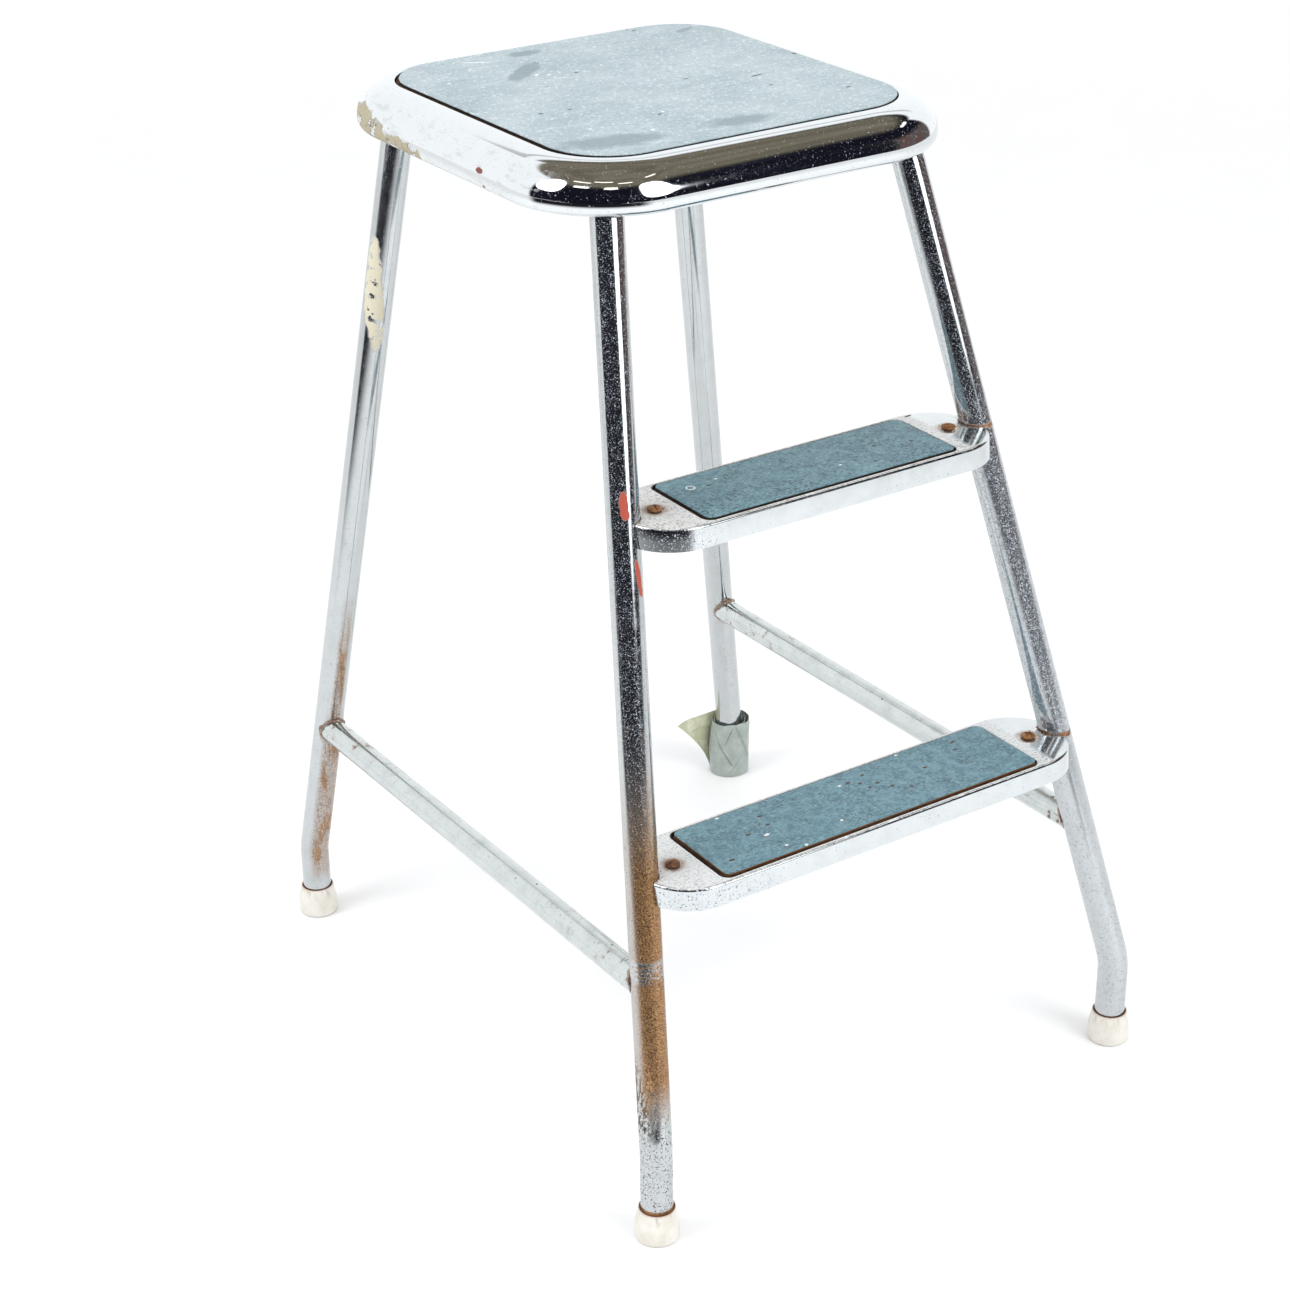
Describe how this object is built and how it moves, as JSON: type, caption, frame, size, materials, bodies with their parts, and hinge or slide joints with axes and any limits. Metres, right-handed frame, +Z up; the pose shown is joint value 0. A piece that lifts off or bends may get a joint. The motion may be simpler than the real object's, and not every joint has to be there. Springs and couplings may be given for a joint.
{
  "type": "step stool",
  "caption": "Fixed step stool: splayed chromed tube legs, a square linoleum seat in a pressed steel shell, narrow treads between the front legs, side stretchers and foot caps.",
  "frame": {"origin": "on the floor, in the middle of the footprint of the four feet", "axes": "+Z up, +X to the right and +Y to the back for a person who faces the treads; the treads are at -Y"},
  "size_m": [0.4329, 0.5201, 0.6777],
  "materials": {
    "chrome": "bright chromed steel, lightly pitted and rust-spotted",
    "dull_chrome": "dull grey chromed steel, pitted near its ends",
    "seat_linoleum": "pale blue-grey linoleum, satin, scuffed",
    "tread_linoleum": "teal-grey mottled linoleum, matte, nicked",
    "hardboard": "bare dark brown hardboard",
    "plywood": "bare plywood",
    "plastic": "cream white plastic with rust stains",
    "tape": "worn grey-green cloth tape",
    "rusty_steel": "rusted brown",
    "steel": "plain dull steel"
  },
  "bodies": {
    "root": {"foot_cap_front_left": "plastic", "foot_cap_front_right": "plastic", "foot_cap_rear_left": "plastic", "foot_cap_rear_right": "plastic", "foot_tape": "tape", "leg_front_left": "chrome", "leg_front_right": "chrome", "leg_plate_front_left": "steel", "leg_plate_front_right": "steel", "leg_plate_rear_left": "steel", "leg_plate_rear_right": "steel", "leg_rear_left": "chrome", "leg_rear_right": "chrome", "plate_screw_front_left_1": "steel", "plate_screw_front_left_2": "steel", "plate_screw_front_left_3": "steel", "plate_screw_front_right_1": "steel", "plate_screw_front_right_2": "steel", "plate_screw_front_right_3": "steel", "plate_screw_rear_left_1": "steel", "plate_screw_rear_left_2": "steel", "plate_screw_rear_left_3": "steel", "plate_screw_rear_right_1": "steel", "plate_screw_rear_right_2": "steel", "plate_screw_rear_right_3": "steel", "seat_backing_board": "hardboard", "seat_core_board": "plywood", "seat_linoleum": "seat_linoleum", "seat_shell": "chrome", "stretcher_left": "dull_chrome", "stretcher_right": "dull_chrome", "tread_board_lower": "hardboard", "tread_board_upper": "hardboard", "tread_linoleum_lower": "tread_linoleum", "tread_linoleum_upper": "tread_linoleum", "tread_lower": "chrome", "tread_nut_lower_left": "rusty_steel", "tread_nut_lower_right": "rusty_steel", "tread_nut_upper_left": "rusty_steel", "tread_nut_upper_right": "rusty_steel", "tread_screw_lower_left": "rusty_steel", "tread_screw_lower_right": "rusty_steel", "tread_screw_upper_left": "rusty_steel", "tread_screw_upper_right": "rusty_steel", "tread_tab_lower_left": "steel", "tread_tab_lower_right": "steel", "tread_tab_upper_left": "steel", "tread_tab_upper_right": "steel", "tread_upper": "chrome"}
  },
  "joints": []
}
